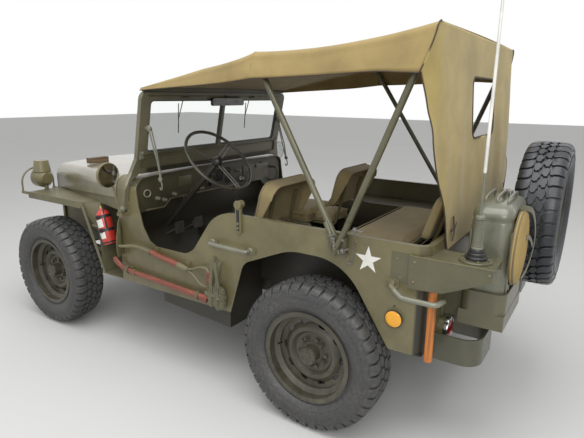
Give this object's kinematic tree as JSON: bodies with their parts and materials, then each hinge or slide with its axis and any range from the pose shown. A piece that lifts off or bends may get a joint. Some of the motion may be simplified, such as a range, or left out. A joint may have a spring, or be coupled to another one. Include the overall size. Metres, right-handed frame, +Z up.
{
  "type": "open army 4x4 car with canvas top",
  "caption": "Light open 4x4 army car with slotted grille, fold-down windshield frame, canvas top, rear spare wheel, fuel can and side tools.",
  "frame": {"origin": "on the ground under the middle of the bounding box", "axes": "+Z up, the car faces -Y, +X is the car's own left side"},
  "size_m": [1.79, 3.405, 2.2399],
  "materials": {
    "body_paint": "matt olive",
    "frame_paint": "matt, dusty",
    "red_paint": "gloss",
    "bare_wood": "weathered",
    "glass": "clear",
    "canvas": "woven olive",
    "tan_canvas": "woven tan",
    "black_plastic": "satin",
    "bare_steel": "dull",
    "cast_metal": "rough",
    "tyre": "matt"
  },
  "bodies": {
    "chassis": {"chassis_frame": "frame_paint", "front_bumper": "body_paint", "rear_bumper": "body_paint", "body_tub": "body_paint", "cowl": "body_paint", "grille": "body_paint", "front_fenders": "body_paint", "front_lamps": "body_paint", "windshield_frame": "body_paint", "windshield_glass": "glass", "canvas_top": "canvas", "rear_curtain": "canvas", "top_bows": "body_paint", "seat_frames": "body_paint", "seat_cushions": "canvas", "steering_column": "body_paint", "driving_controls": "bare_steel", "engine": "cast_metal", "gearbox": "cast_metal", "drive_shafts": "frame_paint", "exhaust": "bare_steel", "fuel_tank": "body_paint", "front_axle": "frame_paint", "rear_axle": "frame_paint", "leaf_springs": "bare_steel", "spare_tyre": "tyre", "spare_wheel": "body_paint", "spare_bracket": "body_paint", "fuel_can": "body_paint", "can_carrier": "body_paint", "canvas_bucket": "tan_canvas", "antenna_shelf": "body_paint", "antenna": "black_plastic", "shovel": "body_paint", "axe": "bare_wood", "side_fittings": "body_paint", "extinguisher": "red_paint", "mirrors": "body_paint", "rear_lamps": "body_paint", "wooden_handle": "bare_wood"},
    "hood": {"hood": "body_paint", "hood_blocks": "bare_wood"},
    "steering_wheel": {"steering_wheel": "black_plastic"},
    "knuckle_left": {"knuckle_left": "frame_paint"},
    "knuckle_right": {"knuckle_right": "frame_paint"},
    "tie_rod": {"tie_rod": "frame_paint"},
    "wheel_front_left": {"wheel_front_left": "body_paint", "tyre_front_left": "tyre"},
    "wheel_front_right": {"wheel_front_right": "body_paint", "tyre_front_right": "tyre"},
    "wheel_rear_left": {"wheel_rear_left": "body_paint", "tyre_rear_left": "tyre"},
    "wheel_rear_right": {"wheel_rear_right": "body_paint", "tyre_rear_right": "tyre"}
  },
  "joints": [
    {"name": "hood_hinge", "type": "hinge", "parent": "chassis", "child": "hood", "pos_m": [0, -0.53, 1.088], "axis": [-1, 0, 0], "range_deg": [0, 95]},
    {"name": "steer_left", "type": "hinge", "parent": "chassis", "child": "knuckle_left", "pos_m": [0.59, -1.224, 0.358], "axis": [0, 0, 1], "range_deg": [-28, 28]},
    {"name": "steer_right", "type": "hinge", "parent": "chassis", "child": "knuckle_right", "pos_m": [-0.59, -1.224, 0.358], "axis": [0, 0, 1], "range_deg": [-28, 28]},
    {"name": "tie_rod_end", "type": "hinge", "parent": "knuckle_left", "child": "tie_rod", "pos_m": [0.59, -1.374, 0.324], "axis": [0, 0, 1], "range_deg": [-28, 28]},
    {"name": "steering_wheel_turn", "type": "hinge", "parent": "chassis", "child": "steering_wheel", "pos_m": [0.35, -0.073, 1.155], "axis": [0, 0.7133, 0.7009], "range_deg": [-420, 420]},
    {"name": "spin_front_left", "type": "hinge", "parent": "knuckle_left", "child": "wheel_front_left", "pos_m": [0.712, -1.224, 0.358], "axis": [1, 0, 0], "continuous": true},
    {"name": "spin_front_right", "type": "hinge", "parent": "knuckle_right", "child": "wheel_front_right", "pos_m": [-0.712, -1.224, 0.358], "axis": [1, 0, 0], "continuous": true},
    {"name": "spin_rear_left", "type": "hinge", "parent": "chassis", "child": "wheel_rear_left", "pos_m": [0.712, 0.808, 0.358], "axis": [1, 0, 0], "continuous": true},
    {"name": "spin_rear_right", "type": "hinge", "parent": "chassis", "child": "wheel_rear_right", "pos_m": [-0.712, 0.808, 0.358], "axis": [1, 0, 0], "continuous": true}
  ],
  "couplings": [
    {"joint": "steer_right", "follows": "steer_left", "ratio": 1},
    {"joint": "tie_rod_end", "follows": "steer_left", "ratio": -1},
    {"joint": "steering_wheel_turn", "follows": "steer_left", "ratio": 15}
  ]
}
